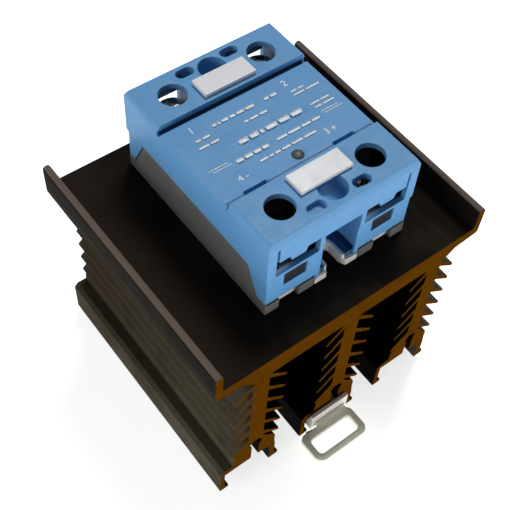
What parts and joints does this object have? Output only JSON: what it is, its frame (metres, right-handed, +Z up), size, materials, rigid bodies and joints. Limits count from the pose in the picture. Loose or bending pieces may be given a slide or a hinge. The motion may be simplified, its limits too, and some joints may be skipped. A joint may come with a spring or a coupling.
{
  "type": "solid state relay",
  "caption": "Panel-type solid state relay in a blue and grey housing, mounted on a black finned heat sink with a spring-loaded DIN rail clip",
  "frame": {"origin": "centre of the rail seat, on the plane of the heat sink feet", "axes": "+X across the heat sink, +Y along the extrusion towards the power terminals, +Z up from the rail to the relay's top"},
  "size_m": [0.084, 0.0871, 0.0908],
  "materials": {
    "black_anodised": "black anodised extrusion, sawn ends bare",
    "thermal_film": "grey thermal film",
    "nickel_plate": "satin nickel plating",
    "grey_plastic": "moulded dark grey",
    "blue_plastic": "moulded light blue, fine texture",
    "tag_plastic": "smooth off-white",
    "lens": "smoked light guide, unlit",
    "board": "green solder mask",
    "chip_package": "black epoxy",
    "ceramic": "white alumina",
    "silicon": "passivated die",
    "tinned_metal": "tin plating",
    "copper": "copper",
    "zinc_screw": "bright zinc",
    "zinc_plate": "bright zinc",
    "clip_steel": "nickel-plated spring steel",
    "spring_steel": "drawn wire"
  },
  "bodies": {
    "housing": {"heat_sink": "black_anodised", "thermal_pad": "thermal_film", "base_plate": "nickel_plate", "lower_body": "grey_plastic", "shell": "blue_plastic", "status_lens": "lens", "circuit_board": "board", "opto_isolator": "chip_package", "board_components": "chip_package", "ceramic_substrate": "ceramic", "thyristor_chips": "silicon", "gate_pins": "tinned_metal", "line_busbar": "copper", "load_busbar": "copper", "control_plus_strip": "tinned_metal", "control_minus_strip": "tinned_metal", "fixing_screw": "zinc_screw", "fixing_washer": "zinc_plate", "rail_bracket": "clip_steel", "bracket_screws": "zinc_screw", "latch_spring": "spring_steel"},
    "line_screw": {"line_screw": "zinc_screw"},
    "load_screw": {"load_screw": "zinc_screw"},
    "line_clamp": {"line_clamp": "zinc_plate"},
    "load_clamp": {"load_clamp": "zinc_plate"},
    "control_plus_screw": {"control_plus_screw": "zinc_screw"},
    "control_minus_screw": {"control_minus_screw": "zinc_screw"},
    "control_plus_clamp": {"control_plus_clamp": "zinc_plate"},
    "control_minus_clamp": {"control_minus_clamp": "zinc_plate"},
    "front_marker_tag": {"front_marker_tag": "tag_plastic"},
    "rear_marker_tag": {"rear_marker_tag": "tag_plastic"},
    "rail_latch": {"rail_latch": "clip_steel"}
  },
  "joints": [
    {"name": "latch_pull", "type": "slide", "parent": "housing", "child": "rail_latch", "axis": [0, -1, 0], "range_m": [0, 0.004], "stiffness_N_per_m": 600, "springref_m": -0.003, "deforming": ["latch_spring"]},
    {"name": "line_clamp_lift", "type": "slide", "parent": "housing", "child": "line_clamp", "axis": [0, 0, 1], "range_m": [-0.004, 0]},
    {"name": "line_screw_turn", "type": "hinge", "parent": "line_clamp", "child": "line_screw", "pos_m": [-0.0114, 0.023, 0.0752], "axis": [0, 0, 1], "range_deg": [-1800, 0]},
    {"name": "load_clamp_lift", "type": "slide", "parent": "housing", "child": "load_clamp", "axis": [0, 0, 1], "range_m": [-0.004, 0]},
    {"name": "load_screw_turn", "type": "hinge", "parent": "load_clamp", "child": "load_screw", "pos_m": [0.0154, 0.023, 0.0752], "axis": [0, 0, 1], "range_deg": [-1800, 0]},
    {"name": "control_minus_clamp_lift", "type": "slide", "parent": "housing", "child": "control_minus_clamp", "axis": [0, 0, 1], "range_m": [0, 0.0028]},
    {"name": "control_minus_screw_turn", "type": "hinge", "parent": "control_minus_clamp", "child": "control_minus_screw", "pos_m": [-0.0114, -0.019, 0.0752], "axis": [0, 0, 1], "range_deg": [0, 1440]},
    {"name": "control_plus_clamp_lift", "type": "slide", "parent": "housing", "child": "control_plus_clamp", "axis": [0, 0, 1], "range_m": [0, 0.0028]},
    {"name": "control_plus_screw_turn", "type": "hinge", "parent": "control_plus_clamp", "child": "control_plus_screw", "pos_m": [0.0154, -0.019, 0.0752], "axis": [0, 0, 1], "range_deg": [0, 1440]},
    {"name": "front_tag_lift", "type": "slide", "parent": "housing", "child": "front_marker_tag", "axis": [0, 0, 1], "range_m": [0, 0.008]},
    {"name": "rear_tag_lift", "type": "slide", "parent": "housing", "child": "rear_marker_tag", "axis": [0, 0, 1], "range_m": [0, 0.008]}
  ],
  "couplings": [
    {"joint": "line_screw_turn", "follows": "line_clamp_lift", "rad_per_m": 7854},
    {"joint": "load_screw_turn", "follows": "load_clamp_lift", "rad_per_m": 7854},
    {"joint": "control_minus_screw_turn", "follows": "control_minus_clamp_lift", "rad_per_m": 8976},
    {"joint": "control_plus_screw_turn", "follows": "control_plus_clamp_lift", "rad_per_m": 8976}
  ]
}
